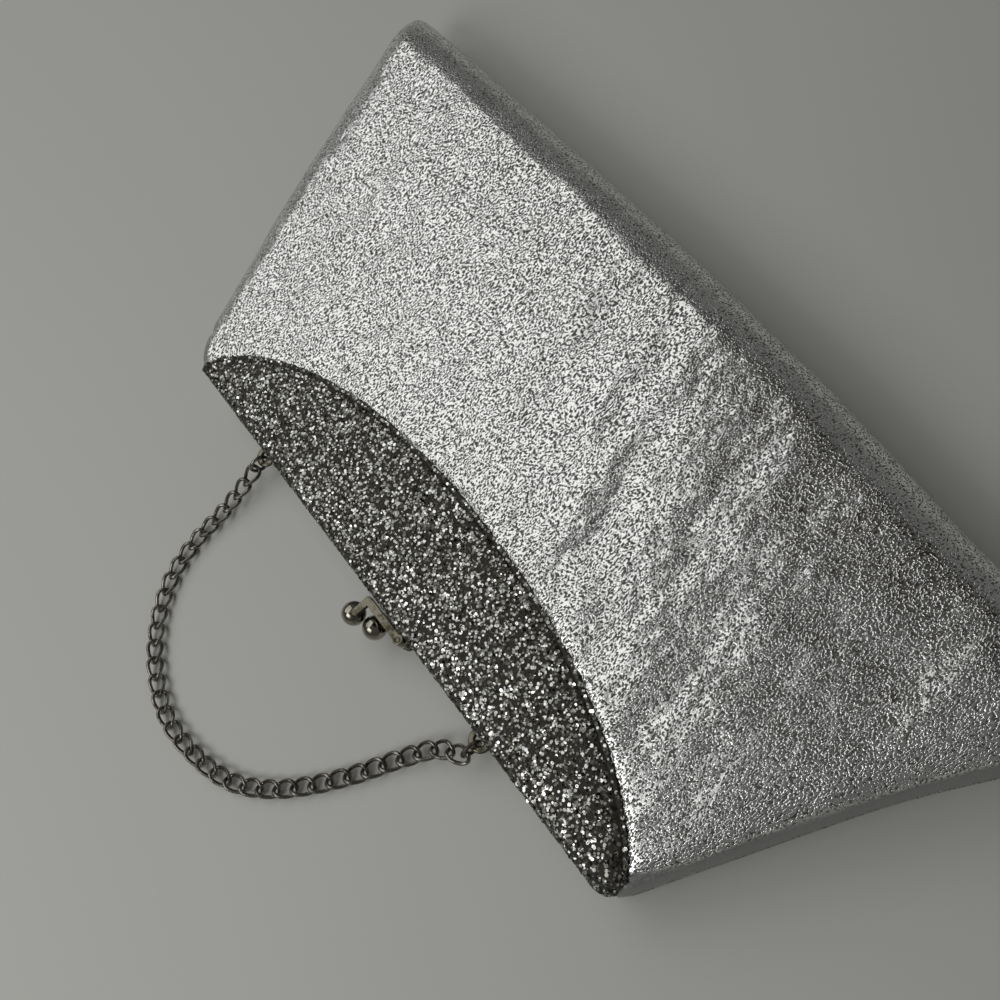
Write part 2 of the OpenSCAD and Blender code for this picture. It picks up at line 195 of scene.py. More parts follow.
def bodyMap(x, y, z, dented=True):
    # moves a point of the plain wrap to its place on the soft, rounded body
    thick = frontHeight(y)
    low = form["sag"] * ramp(y, 40, -50)
    share = np.clip(z / thick, 0, 1)
    centre = thick / 2 - low
    level = z - 4 * low * share * (1 - share)
    inEdge = np.clip(1 - (halfWidth(y, x) - np.abs(x)) / roundWidth(y), 0, 1)
    hold = form["holdBottom"] + (form["holdMouth"] - form["holdBottom"]) * ramp(y, -60, 20)
    keep = hold + (1 - hold) * np.sqrt(1 - inEdge**2)
    height = centre + (level - centre) * keep
    if dented:
        across = x / halfWidth(y, x)
        lift = form["crown"] * (1 - across**2) * ramp(y, -64, -20) * ramp(y, 70, 30)
        for dx, dy, long, short, turn, deep in dents:
            c, s = math.cos(math.radians(turn)), math.sin(math.radians(turn))
            u = ((x - dx) * c + (y - dy) * s) / long
            v = (-(x - dx) * s + (y - dy) * c) / short
            lift = lift - deep * np.exp(-(u * u + v * v) * 1.4)
        wave = np.sin(x * 0.21 + y * 0.13) + np.sin(x * 0.09 - y * 0.27 + 1.7)
        wave = wave + np.sin(x * 0.33 + y * 0.05 + 4)
        lift = lift + form["ripple"] * wave * 0.5 * ramp(y, 50, 20)
        height = height + lift * ramp(share, 0.55, 0.95)
    shift = np.interp(x, form["foldX"], form["foldShift"]) * ramp(y, 12, -62)
    return np.stack([x, y + shift, height], 1)


def wrapPath(share, depth=0.0):
    # plain profile from the back's mouth edge round the bottom to the front's mouth edge
    backRun = bag["mouthY"] - rollY
    rollRun = math.pi * rollR
    frontRun = math.hypot(backRun, bag["bottomThick"] - bag["mouthThick"])
    run = share * (backRun + rollRun + frontRun)
    angle = np.clip((run - backRun) / rollRun, 0, 1) * math.pi
    along = np.clip((run - backRun - rollRun) / frontRun, 0, 1)
    onBack, onFront = run < backRun, run > backRun + rollRun
    frontY = rollY + along * backRun
    y = np.where(
        onBack, bag["mouthY"] - run,
        np.where(onFront, frontY, rollY - (rollR - depth) * np.sin(angle)),
    )
    z = np.where(
        onBack, depth,
        np.where(onFront, frontHeight(frontY) - depth, rollR - (rollR - depth) * np.cos(angle)),
    )
    return y, z, onFront, onBack


# mesh helpers


def addGrid(name, columns, rows):
    bpy.ops.object.select_all(action="DESELECT")
    bpy.ops.mesh.primitive_grid_add(x_subdivisions=columns, y_subdivisions=rows, size=2)
    piece = bpy.context.object
    piece.name = piece.data.name = name
    return piece


def readPoints(piece):
    co = np.zeros(len(piece.data.vertices) * 3)
    piece.data.vertices.foreach_get("co", co)
    return co.reshape(-1, 3)


def setPoints(piece, points):
    piece.data.vertices.foreach_set("co", (points * mm).astype(np.float32).ravel())
    piece.data.update()


def setValue(piece, name, values):
    layer = piece.data.attributes.new(name, "FLOAT", "POINT")
    layer.data.foreach_set("value", np.asarray(values, np.float32))


def applyModifier(piece, kind, **values):
    bpy.ops.object.select_all(action="DESELECT")
    bpy.context.view_layer.objects.active = piece
    piece.select_set(True)
    modifier = piece.modifiers.new(kind.lower(), kind)
    for key, value in values.items():
        setattr(modifier, key, value)
    bpy.ops.object.modifier_apply(modifier=modifier.name)


def smooth(piece, angle=None):
    bpy.ops.object.select_all(action="DESELECT")
    bpy.context.view_layer.objects.active = piece
    piece.select_set(True)
    if angle is None:
        bpy.ops.object.shade_smooth()
    else:
        bpy.ops.object.shade_smooth_by_angle(angle=math.radians(angle))


def thicken(piece, thick, side=-1):
    applyModifier(piece, "SOLIDIFY", thickness=thick * mm, offset=side, use_even_offset=False)


def dress(piece, material):
    piece.data.materials.clear()
    piece.data.materials.append(material)


def bend(piece):
    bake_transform(piece)


# materials


def makeMaterial(name):
    material = bpy.data.materials.new(name)
    material.use_nodes = True
    return material, material.node_tree, material.node_tree.nodes["Principled BSDF"]


def addNode(tree, kind, inputs=None, **values):
    node = tree.nodes.new("ShaderNode" + kind)
    for key, value in values.items():
        setattr(node, key, value)
    for key, value in (inputs or {}).items():
        if isinstance(value, bpy.types.NodeSocket):
            tree.links.new(value, node.inputs[key])
        else:
            node.inputs[key].default_value = value
    return node


def addMath(tree, operation, a, b=0.0, clamp=False):
    return addNode(tree, "Math", {0: a, 1: b}, operation=operation, use_clamp=clamp).outputs[0]


def addMix(tree, factor, a, b):
    node = addNode(tree, "Mix", data_type="RGBA")
    for index, value in ((0, factor), (6, a), (7, b)):
        if isinstance(value, bpy.types.NodeSocket):
            tree.links.new(value, node.inputs[index])
        else:
            node.inputs[index].default_value = value
    return node.outputs[2]


def addRamp(tree, factor, stops):
    node = addNode(tree, "ValToRGB", {"Fac": factor})
    while len(node.color_ramp.elements) < len(stops):
        node.color_ramp.elements.new(0.5)
    for element, (place, color) in zip(node.color_ramp.elements, stops):
        element.position = place
        element.color = color if len(color) == 4 else (*color, 1)
    return node.outputs["Color"]


def addSpan(tree, value, low, high, toLow=0.0, toHigh=1.0):
    names = {"Value": value, "From Min": low, "From Max": high, "To Min": toLow, "To Max": toHigh}
    return addNode(tree, "MapRange", names, interpolation_type="SMOOTHSTEP").outputs["Result"]


def makeGroup(name, ins, outs):
    group = bpy.data.node_groups.new(name, "ShaderNodeTree")
    for label, kind, value in ins:
        socket = group.interface.new_socket(label, in_out="INPUT", socket_type=kind)
        if value is not None:
            socket.default_value = value
    for label, kind in outs:
        group.interface.new_socket(label, in_out="OUTPUT", socket_type=kind)
    given = group.nodes.new("NodeGroupInput").outputs
    result = group.nodes.new("NodeGroupOutput").inputs
    return group, given, result


def placeGroup(tree, group, inputs):
    node = tree.nodes.new("ShaderNodeGroup")
    node.node_tree = group
    for key, value in inputs.items():
        if isinstance(value, bpy.types.NodeSocket):
            tree.links.new(value, node.inputs[key])
        else:
            node.inputs[key].default_value = value
    return node.outputs


def objectPoint(tree):
    return addNode(tree, "TexCoord").outputs["Object"]


def makeGrainGroup():
    ins = [
        ("Vector", "NodeSocketVector", None), ("Pitch", "NodeSocketFloat", 1500.0),
        ("Drift", "NodeSocketFloat", 0.003), ("Fold", "NodeSocketFloat", 8.0),
    ]
    outs = [
        ("Height", "NodeSocketFloat"), ("Groove", "NodeSocketFloat"), ("Patch", "NodeSocketFloat"),
    ]
    group, given, result = makeGroup("pebbleGrain", ins, outs)
    drift = addNode(group, "TexNoise", {"Vector": given["Vector"], "Scale": 60.0, "Detail": 1.0})
    centred = addNode(
        group, "VectorMath", {0: drift.outputs["Color"], 1: (0.5, 0.5, 0.5)}, operation="SUBTRACT",
    )
    pushed = addNode(group, "VectorMath", {0: centred.outputs[0]}, operation="SCALE")
    group.links.new(given["Drift"], pushed.inputs["Scale"])
    moved = addNode(
        group, "VectorMath", {0: given["Vector"], 1: pushed.outputs[0]}, operation="ADD",
    )
    drawn = addNode(
        group, "VectorMath", {0: moved.outputs[0], 1: (1.2, 0.75, 1.0)}, operation="MULTIPLY",
    )
    worms = addNode(
        group, "TexNoise",
        {"Vector": drawn.outputs[0], "Scale": given["Pitch"], "Detail": 1.0, "Roughness": 0.35},
    )
    crumbs = addNode(group, "TexNoise", {"Vector": given["Vector"], "Scale": 3200.0, "Detail": 1.0})
    wide = addNode(group, "TexNoise", {"Vector": given["Vector"], "Scale": 45.0, "Detail": 2.0})
    folds = addNode(
        group, "TexNoise",
        {"Vector": drawn.outputs[0], "Scale": 110.0, "Detail": 2.0, "Roughness": 0.55},
    )
    body = addSpan(group, worms.outputs["Fac"], 0.36, 0.56)
    grainy = addMath(group, "ADD", body, addMath(group, "MULTIPLY", crumbs.outputs["Fac"], 0.12))
    height = addMath(
        group, "ADD", grainy, addMath(group, "MULTIPLY", folds.outputs["Fac"], given["Fold"]),
    )
    group.links.new(height, result["Height"])
    group.links.new(addSpan(group, worms.outputs["Fac"], 0.48, 0.37), result["Groove"])
    group.links.new(wide.outputs["Fac"], result["Patch"])
    return group


def makeWeaveGroup():
    ins = [("Vector", "NodeSocketVector", None), ("Threads", "NodeSocketFloat", 2200.0)]
    outs = [("Height", "NodeSocketFloat"), ("Slub", "NodeSocketFloat")]
    group, given, result = makeGroup("plainWeave", ins, outs)
    warp = addNode(
        group, "TexWave",
        {"Vector": given["Vector"], "Scale": given["Threads"], "Distortion": 0.6},
        bands_direction="X",
    )
    weft = addNode(
        group, "TexWave",
        {"Vector": given["Vector"], "Scale": given["Threads"], "Distortion": 0.6},
        bands_direction="Y",
    )
    slub = addNode(group, "TexNoise", {"Vector": given["Vector"], "Scale": 160.0, "Detail": 3.0})
    group.links.new(
        addMath(group, "MULTIPLY", warp.outputs["Fac"], weft.outputs["Fac"]), result["Height"],
    )
    group.links.new(slub.outputs["Fac"], result["Slub"])
    return group


def makeTarnishGroup():
    ins = [("Vector", "NodeSocketVector", None), ("Size", "NodeSocketFloat", 260.0)]
    outs = [("Tarnish", "NodeSocketFloat"), ("Scratch", "NodeSocketFloat")]
    group, given, result = makeGroup("tarnishField", ins, outs)
    cloud = addNode(
        group, "TexNoise",
        {"Vector": given["Vector"], "Scale": given["Size"], "Detail": 5.0, "Roughness": 0.6},
    )
    drawn = addNode(
        group, "VectorMath", {0: given["Vector"], 1: (1.0, 9.0, 3.0)}, operation="MULTIPLY",
    )
    lines = addNode(group, "TexNoise", {"Vector": drawn.outputs[0], "Scale": 500.0, "Detail": 4.0})
    group.links.new(addSpan(group, cloud.outputs["Fac"], 0.42, 0.66), result["Tarnish"])
    group.links.new(lines.outputs["Fac"], result["Scratch"])
    return group


grainGroup = makeGrainGroup()
weaveGroup = makeWeaveGroup()
tarnishGroup = makeTarnishGroup()


def makeLeather(name, values):
    material, tree, shader = makeMaterial(name)
    point = objectPoint(tree)
    grain = placeGroup(
        tree, grainGroup,
        {
            "Vector": point,
            "Pitch": values["pitch"],
            "Drift": values["drift"],
            "Fold": values["fold"],
        },
    )
    patchTop = addMix(tree, grain["Patch"], values["top"], values["topWarm"])
    # painted shade: the grain's grooves are mixed towards near black, standing in for the self-shadow in the
    # pits
    grooveShadedFoil = addMix(
        tree, addMath(tree, "MULTIPLY", grain["Groove"], values["grooveShadeAmount"]), patchTop,
        values["grooveShade"],
    )
    strip = addNode(tree, "Attribute", attribute_name="smoothStrip").outputs["Fac"]
    color = addMix(tree, strip, grooveShadedFoil, values["smooth"])
    tree.links.new(color, shader.inputs["Base Color"])
    roughFoil = addSpan(tree, grain["Groove"], 0.0, 1.0, values["rough"], values["rough"] + 0.3)
    rough = addMath(tree, "ADD", roughFoil, addMath(tree, "MULTIPLY", strip, 0.2))
    tree.links.new(rough, shader.inputs["Roughness"])
    bright = addSpan(tree, grain["Groove"], 0.0, 1.0, values["metal"], 0.2)
    tree.links.new(
        addMath(tree, "MULTIPLY", bright, addSpan(tree, strip, 0.0, 1.0, 1.0, 0.55)),
        shader.inputs["Metallic"],
    )
    flat = addMath(tree, "SUBTRACT", 1.0, addMath(tree, "MULTIPLY", strip, 0.8))
    height = addMath(tree, "MULTIPLY", grain["Height"], flat)
    bump = addNode(
        tree, "Bump",
        {"Height": height, "Strength": values["bump"], "Distance": values["bumpDeep"]},
    )
    tree.links.new(bump.outputs[0], shader.inputs["Normal"])
    return material


def makeFlakes(name, values):
    material, tree, shader = makeMaterial(name)
    tone = addNode(tree, "Attribute", attribute_name="flakeTone").outputs["Fac"]
    tree.links.new(addRamp(tree, tone, values["tones"]), shader.inputs["Base Color"])
    smear = addNode(tree, "TexNoise", {"Vector": objectPoint(tree), "Scale": 1500.0, "Detail": 2.0})
    rough = addSpan(tree, smear.outputs["Fac"], 0.3, 0.7, values["rough"], values["rough"] + 0.15)
    tree.links.new(rough, shader.inputs["Roughness"])
    shader.inputs["Metallic"].default_value = 1.0
    bump = addNode(
        tree, "Bump", {"Height": smear.outputs["Fac"], "Strength": 0.15, "Distance": 0.0001},
    )
    tree.links.new(bump.outputs[0], shader.inputs["Normal"])
    return material


def makeCloth(name, values):
    material, tree, shader = makeMaterial(name)
    weave = placeGroup(
        tree, weaveGroup, {"Vector": objectPoint(tree), "Threads": values["threads"]},
    )
    tree.links.new(
        addMix(tree, weave["Slub"], values["color"], values["shade"]), shader.inputs["Base Color"],
    )
    rough = addSpan(tree, weave["Slub"], 0.2, 0.8, values["rough"], values["rough"] + 0.1)
    tree.links.new(rough, shader.inputs["Roughness"])
    shader.inputs["Sheen Weight"].default_value = values["sheen"]
    bump = addNode(
        tree, "Bump", {"Height": weave["Height"], "Strength": values["bump"], "Distance": 0.0001},
    )
    tree.links.new(bump.outputs[0], shader.inputs["Normal"])
    return material


def makeMetal(name, values):
    material, tree, shader = makeMaterial(name)
    field = placeGroup(tree, tarnishGroup, {"Vector": objectPoint(tree), "Size": values["size"]})
    tree.links.new(
        addMix(tree, field["Tarnish"], values["color"], values["tarnish"]),
        shader.inputs["Base Color"],
    )
    rough = addSpan(
        tree, field["Tarnish"], 0.0, 1.0, values["rough"], values["rough"] + values["dull"],
    )
    tree.links.new(rough, shader.inputs["Roughness"])
    shader.inputs["Metallic"].default_value = 1.0
    bump = addNode(
        tree, "Bump",
        {"Height": field["Scratch"], "Strength": values["bump"], "Distance": 0.00005},
    )
    tree.links.new(bump.outputs[0], shader.inputs["Normal"])
    return material


leatherValues = {
    "pitch": 1850.0,
    "drift": 0.004,
    "fold": 9.0,
    "top": (0.95, 0.95, 0.93, 1),
    "topWarm": (0.88, 0.88, 0.85, 1),
    # painted shade for the grain's grooves: its colour, and how strongly it is mixed in
    "grooveShade": (0.035, 0.032, 0.024, 1),
    "grooveShadeAmount": 0.92,
    "smooth": (0.33, 0.33, 0.32, 1),
    "rough": 0.2,
    "metal": 1.0,
    "bump": 1.0,
    "bumpDeep": 0.0001,
}
# the gussets take the same painted groove shade, mixed in more weakly
gussetValues = dict(
    leatherValues, pitch=1900.0, top=(0.42, 0.42, 0.41, 1), topWarm=(0.36, 0.36, 0.35, 1),
    grooveShadeAmount=0.4, metal=0.7, rough=0.36, bump=0.5,
)
flakeValues = {
    "rough": 0.2,
    "tones": (
        (0.0, (0.025, 0.023, 0.017)),
        (0.26, (0.08, 0.077, 0.06)),
        (0.5, (0.3, 0.3, 0.27)),
        (0.84, (0.62, 0.62, 0.58)),
        (0.91, (1.0, 1.0, 0.98)),
    ),
}
backingValues = {
    "threads": 1500.0,
    "color": (0.035, 0.03, 0.022, 1),
    "shade": (0.06, 0.052, 0.04, 1),
    "rough": 0.6,
    "sheen": 0.1,
    "bump": 0.7,
}
satinValues = {
    "threads": 2400.0,
    "color": (0.20, 0.20, 0.21, 1),
    "shade": (0.28, 0.28, 0.29, 1),
    "rough": 0.32,
    "sheen": 0.4,
    "bump": 0.35,
}
boardValues = {
    "threads": 700.0,
    "color": (0.32, 0.27, 0.2, 1),
    "shade": (0.24, 0.2, 0.15, 1),
    "rough": 0.8,
    "sheen": 0.0,
    "bump": 0.3,
}
waddingValues = {
    "threads": 500.0,
    "color": (0.72, 0.7, 0.64, 1),
    "shade": (0.62, 0.6, 0.55, 1),
    "rough": 0.85,
    "sheen": 0.5,
    "bump": 0.8,
}
antiqueValues = {
    "size": 420.0,
    "color": (0.2, 0.185, 0.14, 1),
    "tarnish": (0.07, 0.063, 0.042, 1),
    "rough": 0.24,
    "dull": 0.16,
    "bump": 0.2,
}
polishedValues = {
    "size": 300.0,
    "color": (0.4, 0.38, 0.32, 1),
    "tarnish": (0.22, 0.205, 0.16, 1),
    "rough": 0.12,
    "dull": 0.1,
    "bump": 0.05,
}
chainValues = {
    "size": 380.0,
    "color": (0.3, 0.28, 0.25, 1),
    "tarnish": (0.09, 0.08, 0.07, 1),
    "rough": 0.24,
    "dull": 0.16,
    "bump": 0.2,
}
frameValues = {
    "size": 200.0,
    "color": (0.4, 0.38, 0.31, 1),
    "tarnish": (0.16, 0.15, 0.11, 1),
    "rough": 0.26,
    "dull": 0.2,
    "bump": 0.3,
}
plateValues = {
    "size": 120.0,
    "color": (0.5, 0.5, 0.5, 1),
    "tarnish": (0.3, 0.28, 0.25, 1),
    "rough": 0.35,
    "dull": 0.2,
    "bump": 0.3,
}

silverLeather = makeLeather("silverFoilLeather", leatherValues)
gussetLeather = makeLeather("gussetLeather", gussetValues)
flakeFoil = makeFlakes("glitterFlakes", flakeValues)
glitterBacking = makeCloth("glitterBacking", backingValues)
satin = makeCloth("liningSatin", satinValues)
greyBoard = makeCloth("stiffeningBoard", boardValues)
wadding = makeCloth("softWadding", waddingValues)
antiqueNickel = makeMetal("antiqueNickel", antiqueValues)
polishedNickel = makeMetal("polishedNickel", polishedValues)
chainNickel = makeMetal("chainNickel", chainValues)
frameSteel = makeMetal("frameSteel", frameValues)
plateSteel = makeMetal("plateSteel", plateValues)
print("stage: materials made")

# silver leather cover: one skin over the back, the bottom roll and the front

coverSetup = {
    "columns": 168,
    "rows": 158,
    "flatShare": 0.85,
    "thick": 1.0,
    "tuck": 2.0,
    "sink": 1.15,
    "lipRun": 0.024,
    "edgeR": 1.8,
}


def arcDistance(x, y):
    # distance past the crescent's arc, and the nearest point on it
    tips = bag["mouthHalf"] + np.array([form["tipRight"], form["tipLeft"]])
    turn = np.sin(np.linspace(-math.pi / 2, math.pi / 2, 500))
    lineX = np.where(turn > 0, turn * tips[1], turn * tips[0])
    line = np.stack([lineX, arcLine(lineX)], 1)
    gaps = (x[:, None] - line[None, :, 0]) ** 2 + (y[:, None] - line[None, :, 1]) ** 2
    nearest = line[gaps.argmin(1)]
    inside = (y > arcLine(x)) & (x < tips[1]) & (x > -tips[0])
    return np.where(inside, 1, -1) * np.sqrt(gaps.min(1)), nearest


def edgeSpread(share, half, wide, flatShare):
    turn = np.clip((np.abs(share) - flatShare) / (1 - flatShare), 0, 1) * math.pi / 2
    flat = np.clip(np.abs(share) / flatShare, 0, 1) * (half - wide)
    return np.sign(share) * np.where(
        np.abs(share) > flatShare, half - wide * (1 - np.sin(turn)), flat,
    )


def makeCover(setup):
    piece = addGrid("silverCover", setup["columns"], setup["rows"])
    given = readPoints(piece)
    rowShare = edgeSpread(given[:, 1], 1.0, setup["lipRun"], 0.92)
    y, z, onFront, onBack = wrapPath((rowShare + 1) / 2)
    x = edgeSpread(given[:, 0], halfWidth(y, given[:, 0]), roundWidth(y), setup["flatShare"])
    past = np.full(len(x), -50.0)
    near = (y > bag["mouthY"] - bag["arcRise"] - 10) & (onFront | onBack)
    past[near], nearest = arcDistance(x[near], y[near])
    spot = np.flatnonzero(near)
    snap = np.abs(past[near] - setup["tuck"]) < 1.0
    ratio = setup["tuck"] / past[near][snap]
    x[spot[snap]] = nearest[snap, 0] + (x[spot[snap]] - nearest[snap, 0]) * ratio
    y[spot[snap]] = nearest[snap, 1] + (y[spot[snap]] - nearest[snap, 1]) * ratio
    past[spot[snap]] = setup["tuck"]
    sink = setup["sink"] * ramp(past, -0.5, 0.8)
    z = np.where(onFront, frontHeight(y) - sink, np.where(onBack, sink + 0.02, z))
    points = bodyMap(x, y, z)
    # past the crescent's tips the leather is turned over the mouth's edge
    toEdge = np.clip(1 - (mouthLine(x) - y) / setup["edgeR"], 0, 1)
    keep = np.where(past < 0, 0.1 + 0.9 * np.sqrt(1 - toEdge**2), 1)
    points[:, 2] = bag["hingeZ"] + (points[:, 2] - bag["hingeZ"]) * keep
    setPoints(piece, points)
    inset = halfWidth(y, x) - np.abs(x)
    stripWide = 2.2 + 2.0 * ramp(y, 44, 60)
    strip = ramp(inset, stripWide + 0.5, stripWide - 0.3) * np.where(onFront, 1.0, 0.6)
    strip = np.maximum(strip, (mouthLine(x) - y < 3.5) & (past < 0))
    setValue(piece, "smoothStrip", strip * ramp(y, -62, -50))
    mesh = bmesh.new()
    mesh.from_mesh(piece.data)
    mesh.verts.ensure_lookup_table()
    gone = [f for f in mesh.faces if all(past[v.index] > setup["tuck"] - 0.01 for v in f.verts)]
    bmesh.ops.delete(mesh, geom=gone, context="FACES")
    mesh.to_mesh(piece.data)
    mesh.free()
    thicken(piece, setup["thick"])
    smooth(piece)
    dress(piece, silverLeather)
    bend(piece)
    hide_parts("leather_cover", "front_leather_upper", "front_leather_fold")


makeCover(coverSetup)
print("stage: leather cover made")

# gussets: a folded strip of leather down each side

gussetSetup = {
    "columns": 18,
    "rows": 90,
    "thick": 0.8,
    "inset": 1.45,
    "tuck": 1.4,
    "pleat": 6.0,
    "flatPleat": 0.35,
    "lowY": -60.5,
    "stopLeft": 5.5,  # how far below the mouth it ends, +X and -X
    "stopRight": 2.0,
}


def makeGusset(name, side, setup, nodes):
    piece = addGrid(name, setup["columns"], setup["rows"])
    given = readPoints(piece)
    across, along = (given[:, 0] + 1) / 2, (given[:, 1] + 1) / 2
    stop = setup["stopLeft"] if side > 0 else setup["stopRight"]
    y = setup["lowY"] + along * (bag["mouthY"] - setup["lowY"] - stop)
    thick = frontHeight(y)
    low = form["sag"] * ramp(y, 40, -50)
    centre = thick / 2 - low
    hold = form["holdBottom"] + (form["holdMouth"] - form["holdBottom"]) * ramp(y, -60, 20)
    close = np.sqrt(np.clip((y + 61.5) / 11.5, 0, 1))
    front = centre + (thick - centre) * hold * close + setup["tuck"] * close
    back = centre - centre * hold * close - setup["tuck"] * close
    z = back + (front - back) * across
    fold = 1 - np.abs(2 * across - 1)
    opened = ramp(y, 16, -8) * ramp(y, -62, -44)
    deep = setup["flatPleat"] + (setup["pleat"] - setup["flatPleat"]) * opened
    pucker = 0.12 * np.sin(y * 0.9) * fold
    x = side * (halfWidth(y, side) - setup["inset"] - deep * fold**1.3 + pucker)
    toEdge = np.clip(1 - (mouthLine(x) - 1.6 - y) / 3, 0, 1)
    z = bag["hingeZ"] + (z - bag["hingeZ"]) * (0.08 + 0.92 * np.sqrt(1 - toEdge**2))
    shift = np.interp(x, form["foldX"], form["foldShift"]) * ramp(y, 12, -62)
    points = np.stack([x, y + shift, z], 1)
    setPoints(piece, points)
    if side > 0:
        piece.data.flip_normals()
    thicken(piece, setup["thick"], side=1)
    setValue(piece, "smoothStrip", np.zeros(len(piece.data.vertices)))
    smooth(piece)
    dress(piece, gussetLeather)
    bend(piece)
    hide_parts(*nodes)


makeGusset("gussetLeft", -1, gussetSetup, ["gusset_left", "gusset_fold_left"])
makeGusset("gussetRight", 1, gussetSetup, ["gusset_right", "gusset_fold_right"])
print("stage: gussets made")

# glitter crescents: a backing cloth turned over the frame's edge, covered in flakes

crescentSetup = {
    "columns": 150,
    "thick": 0.8,
    "rim": (
        (0.35, -0.95), (0.0, -0.4), (0.02, 0.15), (0.35, 0.42), (1.05, 0.34), (1.3, 0.08),
        (1.6, 0.1), (1.9, 0.42),
    ),
    "domeRows": 20,
    "dome": 0.75,
    "rollR": 2.2,
    "rollRows": 6,
    "lipRows": 7,
}
clawX = nodeBox("front_clasp_foot")
backClawX = nodeBox("back_clasp_foot")
lugBoxes = [nodeBox("chain_lug_left"), nodeBox("chain_lug_right")]


def lipEdge(x, plain, notches):
    # height at which the turned-over lip ends, raised where metal passes through it
    level = np.full(len(x), plain)
    for low, high, value in notches:
        level = np.where((x > low) & (x < high), value, level)
    return level


def columnPlaces(count, notches):
    low, high = 0.2 - bag["mouthHalf"], bag["mouthHalf"] + form["tipLeft"] - 0.1
    places = list(
        (low + high) / 2 + np.sin(np.linspace(-1, 1, count + 1) * math.pi / 2) * (high - low) / 2
    )
    for low, high, value in notches:
        for edge, away in ((low, -0.12), (high, 0.12)):
            nearest = min(range(len(places)), key=lambda i: abs(places[i] - edge))
            step = 1 if away > 0 else -1
            places[nearest] = edge - away * 0.5
            places[nearest + step] = edge + away
    return np.array(sorted(places))


def makeCrescent(name, front, notches, setup):
    rim, domeRows = setup["rim"], setup["domeRows"]
    rows = len(rim) + domeRows + setup["rollRows"] + setup["lipRows"]
    piece = addGrid(name, setup["columns"], rows - 1)
    given = readPoints(piece)
    places = columnPlaces(setup["columns"], notches)
    column = np.rint((given[:, 0] + 1) / 2 * setup["columns"]).astype(int)
    row = np.rint((given[:, 1] + 1) / 2 * (rows - 1)).astype(int)
    x = places[column]
    top = mouthLine(x)
    arc = np.minimum(arcLine(x), top - 0.6)
    span = top - arc
    squeeze = np.clip(span / 7, 0.05, 1)
    level = 0.0 if front else -0.42
    parting = bag["hingeZ"] + (0.25 if front else -0.25)
    lip = lipEdge(x, parting, notches)
    y, lift = np.zeros(len(x)), np.zeros(len(x))
    for index, (into, up) in enumerate(rim):
        here = row == index
        y[here] = arc[here] + into * squeeze[here]
        lift[here] = up
    lastIn = arc + rim[-1][0] * squeeze
    rollR2 = np.minimum(setup["rollR"], 0.3 * span + 0.3)
    inner = (row >= len(rim)) & (row < len(rim) + domeRows)
    share = (row - len(rim) + 1) / domeRows
    y[inner] = (lastIn + (top - rollR2 - lastIn) * share)[inner]
    lift[inner] = (
        rim[-1][1] + setup["dome"] * np.sin(np.clip(share, 0, 1) * math.pi) ** 0.8 * squeeze
    )[inner]
    if front:
        plain = frontHeight(np.where(y == 0, top, y)) + np.minimum(lift, 1.4) + level
    else:
        plain = 0.42 - np.minimum(lift, 0.42) * 0.6
        plain = np.where(lift < 0, -lift + 0.2, plain)
        plain = np.where(inner, 0.3, plain)
    rolled = row >= len(rim) + domeRows
    yTop = np.where(rolled, top - rollR2, y)
    crest = (frontHeight(yTop) + rim[-1][1]) if front else np.full(len(x), 0.3)
    plain = np.where(rolled, crest, plain)
    points = bodyMap(x, yTop, np.clip(plain, 0.0, None) if not front else plain, dented=False)
    z = points[:, 2].copy()
    yOut = yTop.copy()
    rollIndex = row - len(rim) - domeRows + 1
    onRoll = rolled & (rollIndex <= setup["rollRows"])
    angle = np.clip(rollIndex / setup["rollRows"], 0, 1) * math.pi / 2
    sign = 1 if front else -1
    room = np.abs(z - parting)
    radiusZ = np.minimum(rollR2, room * 0.6)
    yOut = np.where(rolled, top - rollR2 + rollR2 * np.sin(angle), yOut)
    zRoll = z - sign * radiusZ * (1 - np.cos(angle))
    lipShare = np.clip((rollIndex - setup["rollRows"]) / (setup["lipRows"] - 1), 0, 1)
    zLip = zRoll + (lip - zRoll) * lipShare
    z = np.where(onRoll, zRoll, np.where(rolled, zLip, z))
    last = row == rows - 1
    yOut = np.where(last, yOut - 0.9, yOut)
    setPoints(piece, np.stack([x, yOut, z], 1))
    if not front:
        piece.data.flip_normals()
    return piece


flakeSetup = {
    "size": 0.37,
    "spread": 0.28,  # how much the sizes differ
    "tilt": 19.0,
    "lift": 0.1,
    "deep": 0.3,
    "frontCount": 16500,
    "backCount": 12500,
    "seamBand": (1.05, 1.65),  # bare line that follows the arc, from its edge inwards
    "partGap": 0.9,  # bare strip on each side of the parting of the frame's halves
}


def makeFlakeShape():
    bpy.ops.object.select_all(action="DESELECT")
    bpy.ops.mesh.primitive_cone_add(vertices=6, radius1=0, radius2=1, depth=1)
    shape = bpy.context.object
    points = readPoints(shape)
    faces = [tuple(f.vertices) for f in shape.data.polygons]
    bpy.data.objects.remove(shape)
    points[:, 2] -= 0.5
    return points, faces


